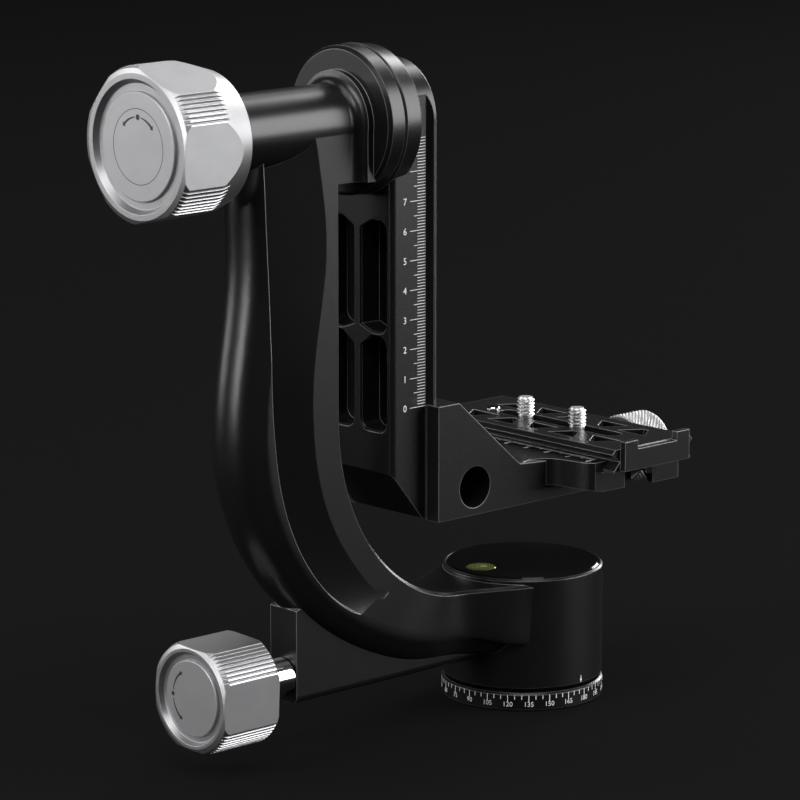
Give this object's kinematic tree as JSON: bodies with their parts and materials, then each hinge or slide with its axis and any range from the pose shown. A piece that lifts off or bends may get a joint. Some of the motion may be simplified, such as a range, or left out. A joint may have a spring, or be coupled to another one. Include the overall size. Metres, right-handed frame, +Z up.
{
  "type": "gimbal tripod head",
  "caption": "J-arm gimbal tripod head with panning hub, tilting swing rail, sliding lens bracket, dovetail clamp and quick-release plate.",
  "frame": {"origin": "centre of the tripod thread's mouth, on the flat underside of the base", "axes": "+Z up along the pan axis; +X along the tilt axis from the tilt knob towards the lens bracket; +Y towards the rail clamp knob"},
  "size_m": [0.2373, 0.095, 0.2376],
  "materials": {
    "black_anodised": "satin black anodised, fine bead blast",
    "silver_anodised": "bead-blasted silver anodised",
    "chrome": "polished",
    "steel": "turned",
    "brass": "turned",
    "gloss_cap": "gloss black",
    "polymer": "low-friction polymer",
    "vial": "clear yellow-green"
  },
  "bodies": {
    "base": {"base_dial": "black_anodised", "thread_bushing": "steel", "pan_spindle": "steel", "base_screws": "steel", "pan_bearing_inner_rings": "steel", "pan_brake_sleeve": "steel", "spindle_washer": "steel", "spindle_nut": "steel"},
    "arm": {"arm": "black_anodised", "hub_cap": "gloss_cap", "level_vial": "vial", "pan_bearing_outer_rings": "steel", "pan_lock_bushing": "brass", "tilt_bearing_outer_rings": "steel"},
    "pan_brake": {"pan_brake_shoe": "brass"},
    "pan_lock": {"pan_knob": "silver_anodised", "pan_lock_screw": "chrome", "pan_knob_cap": "silver_anodised"},
    "cradle": {"swing_rail": "black_anodised", "tilt_shaft": "steel", "tilt_shaft_screws": "steel", "tilt_bearing_inner_rings": "steel", "tilt_spacer": "steel", "friction_disc": "polymer", "rail_stop_screw": "steel"},
    "tilt_ring": {"tilt_pressure_ring": "steel"},
    "tilt_lock": {"tilt_knob": "silver_anodised", "tilt_knob_insert": "brass", "tilt_knob_cap": "silver_anodised"},
    "bracket": {"bracket": "black_anodised"},
    "rail_jaw": {"rail_jaw": "black_anodised"},
    "rail_lock": {"rail_knob": "silver_anodised", "rail_knob_screw": "chrome"},
    "plate_jaw": {"plate_jaw": "black_anodised", "plate_jaw_pins": "steel"},
    "plate_lock": {"plate_knob": "silver_anodised", "plate_knob_screw": "chrome"},
    "plate": {"quick_release_plate": "black_anodised", "locating_pin": "chrome", "plate_stop_screws": "steel"},
    "front_washer": {"front_screw_washer": "steel"},
    "front_screw": {"front_camera_screw": "chrome"},
    "rear_washer": {"rear_screw_washer": "steel"},
    "rear_screw": {"rear_camera_screw": "chrome"}
  },
  "joints": [
    {"name": "pan", "type": "hinge", "parent": "base", "child": "arm", "pos_m": [0, 0, 0.02], "axis": [0, 0, 1], "continuous": true},
    {"name": "pan_brake_slide", "type": "slide", "parent": "arm", "child": "pan_brake", "axis": [-1, 0, 0], "range_m": [0, 0.00187]},
    {"name": "pan_knob_turn", "type": "hinge", "parent": "pan_brake", "child": "pan_lock", "pos_m": [-0.142, 0, 0.0264], "axis": [-1, 0, 0], "range_deg": [0, 540]},
    {"name": "tilt", "type": "hinge", "parent": "arm", "child": "cradle", "pos_m": [-0.08, 0, 0.21157], "axis": [1, 0, 0], "continuous": true},
    {"name": "tilt_ring_slide", "type": "slide", "parent": "cradle", "child": "tilt_ring", "axis": [-1, 0, 0], "range_m": [0, 0.00224]},
    {"name": "tilt_knob_turn", "type": "hinge", "parent": "tilt_ring", "child": "tilt_lock", "pos_m": [-0.16, 0, 0.21157], "axis": [-1, 0, 0], "range_deg": [0, 540]},
    {"name": "bracket_height", "type": "slide", "parent": "cradle", "child": "bracket", "axis": [0, 0, 1], "range_m": [0, 0.08]},
    {"name": "rail_jaw_slide", "type": "slide", "parent": "bracket", "child": "rail_jaw", "axis": [0, 1, 0], "range_m": [0, 0.00159]},
    {"name": "rail_knob_turn", "type": "hinge", "parent": "rail_jaw", "child": "rail_lock", "pos_m": [-0.0556, 0.03, 0.098], "axis": [0, 1, 0], "range_deg": [0, 720]},
    {"name": "plate_jaw_slide", "type": "slide", "parent": "bracket", "child": "plate_jaw", "axis": [1, 0, 0], "range_m": [0, 0.00319]},
    {"name": "plate_knob_turn", "type": "hinge", "parent": "plate_jaw", "child": "plate_lock", "pos_m": [0.055, 0, 0.08], "axis": [1, 0, 0], "range_deg": [0, 1440]},
    {"name": "plate_slide", "type": "slide", "parent": "bracket", "child": "plate", "axis": [0, 1, 0], "range_m": [-0.025, 0.025]},
    {"name": "front_washer_slide", "type": "slide", "parent": "plate", "child": "front_washer", "axis": [0, 1, 0], "range_m": [-0.0165, 0.005]},
    {"name": "front_screw_turn", "type": "hinge", "parent": "front_washer", "child": "front_screw", "pos_m": [0.017, -0.0095, 0.09], "axis": [0, 0, 1], "continuous": true},
    {"name": "rear_washer_slide", "type": "slide", "parent": "plate", "child": "rear_washer", "axis": [0, 1, 0], "range_m": [-0.006, 0.008]},
    {"name": "rear_screw_turn", "type": "hinge", "parent": "rear_washer", "child": "rear_screw", "pos_m": [0.017, 0.016, 0.09], "axis": [0, 0, 1], "continuous": true}
  ],
  "couplings": [
    {"joint": "pan_knob_turn", "follows": "pan_brake_slide", "rad_per_m": 5026.5},
    {"joint": "tilt_knob_turn", "follows": "tilt_ring_slide", "rad_per_m": 4188.8},
    {"joint": "rail_knob_turn", "follows": "rail_jaw_slide", "rad_per_m": 7854},
    {"joint": "plate_knob_turn", "follows": "plate_jaw_slide", "rad_per_m": 7854}
  ]
}
